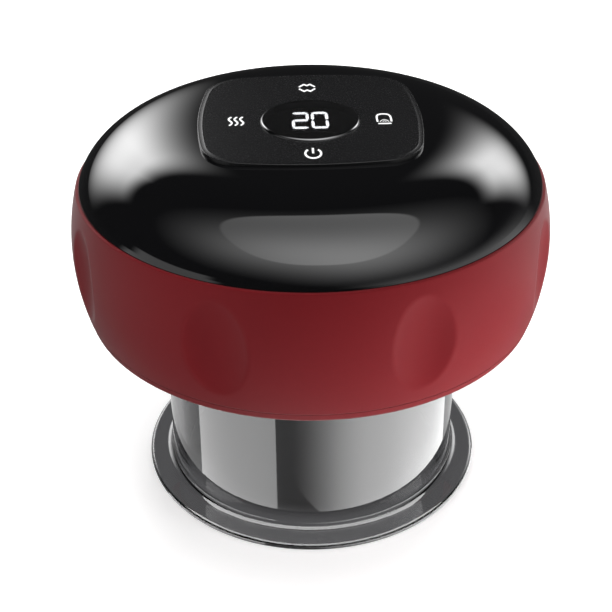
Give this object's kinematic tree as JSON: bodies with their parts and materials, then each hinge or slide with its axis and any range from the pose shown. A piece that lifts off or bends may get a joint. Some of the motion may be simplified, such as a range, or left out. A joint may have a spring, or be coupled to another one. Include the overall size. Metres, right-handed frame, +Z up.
{
  "type": "heated suction massager",
  "caption": "Cordless heated suction massager: a red dimpled body under a glossy dark dome with a display panel, on a smoked clear suction cup.",
  "frame": {"origin": "centre of the suction cup's rim, on the surface it stands on", "axes": "+Z up through the dome, -Y towards the user reading the panel, +Y towards the charging port"},
  "size_m": [0.0908, 0.0908, 0.075],
  "materials": {
    "smoked_cup": "clear smoked",
    "black_rubber": "matt",
    "red_soft": "soft-touch satin",
    "dome_black": "high gloss",
    "panel_black": "satin",
    "bezel_chrome": "polished",
    "window_dark": "polished smoked",
    "lit_digits": "lit",
    "icon_white": "lit from behind",
    "module_black": "matt",
    "board_green": "solder mask",
    "pad_brass": "plated",
    "led_white": "clear cap",
    "led_red": "clear cap",
    "steel": "zinc plated",
    "dark_iron": "matt",
    "copper": "enamelled wire",
    "frosted_lens": "frosted",
    "heater_plate_metal": "anodised satin",
    "film_amber": "polyimide film",
    "dark_plastic": "satin",
    "foam_grey": "open-cell foam",
    "cell_sleeve": "shrink sleeve",
    "pale_plastic": "satin",
    "sensor_case": "matt",
    "hose_clear": "translucent silicone"
  },
  "bodies": {
    "housing": {"air_hoses": "hose_clear", "base_cover": "red_soft", "base_screws": "steel", "battery_cell": "cell_sleeve", "battery_tabs": "steel", "board_screws": "steel", "body_shell": "red_soft", "buzzer": "module_black", "chassis": "dark_plastic", "chassis_screws": "steel", "control_board": "board_green", "control_panel": "panel_black", "cross_connector": "pale_plastic", "diaphragm": "black_rubber", "display_bezel": "bezel_chrome", "display_digits": "lit_digits", "display_module": "module_black", "display_window": "window_dark", "filter_cap": "dark_plastic", "filter_foam": "foam_grey", "heat_leds": "led_red", "heater_film": "film_amber", "heater_plate": "heater_plate_metal", "icon_cup": "icon_white", "icon_heat": "icon_white", "icon_leds": "led_white", "icon_massage": "icon_white", "icon_power": "icon_white", "led_board": "board_green", "lens_ring": "frosted_lens", "motor_bearings": "pad_brass", "motor_can": "steel", "motor_end_cap": "dark_plastic", "motor_magnets": "dark_iron", "power_board": "board_green", "pressure_sensor": "sensor_case", "pump_body": "pale_plastic", "pump_head": "dark_plastic", "pump_screws": "steel", "pump_strap": "steel", "suction_nozzle": "dark_plastic", "thermal_sensor": "module_black", "top_cover": "dome_black", "touch_pads": "pad_brass", "usb_socket": "steel", "usb_tongue": "dark_plastic", "valve_body": "dark_plastic", "valve_coil": "copper", "valve_frame": "steel", "valve_plate": "pale_plastic", "valve_spring": "steel"},
    "cup": {"cup": "smoked_cup", "cup_seal": "black_rubber"},
    "rotor": {"motor_shaft": "steel", "rotor_core": "dark_iron", "rotor_windings": "copper", "eccentric": "pale_plastic"},
    "wobble": {"wobble_plate": "pale_plastic"},
    "plunger": {"valve_plunger": "steel", "plunger_seal": "black_rubber"}
  },
  "joints": [
    {"name": "cup_slide", "type": "slide", "parent": "housing", "child": "cup", "axis": [0, 0, -1], "range_m": [0, 0.012]},
    {"name": "rotor_spin", "type": "hinge", "parent": "housing", "child": "rotor", "pos_m": [0, 0.0155, 0.058], "axis": [1, 0, 0], "continuous": true},
    {"name": "wobble_turn", "type": "hinge", "parent": "rotor", "child": "wobble", "pos_m": [0.0082, 0.0155, 0.058], "axis": [0.9962, 0, -0.0872], "continuous": true},
    {"name": "plunger_lift", "type": "slide", "parent": "housing", "child": "plunger", "axis": [0, 0, 1], "range_m": [0, 0.0012], "stiffness_N_per_m": 300, "springref_m": -0.002, "deforming": ["valve_spring"]}
  ],
  "couplings": [
    {"joint": "wobble_turn", "follows": "rotor_spin", "ratio": -1}
  ]
}
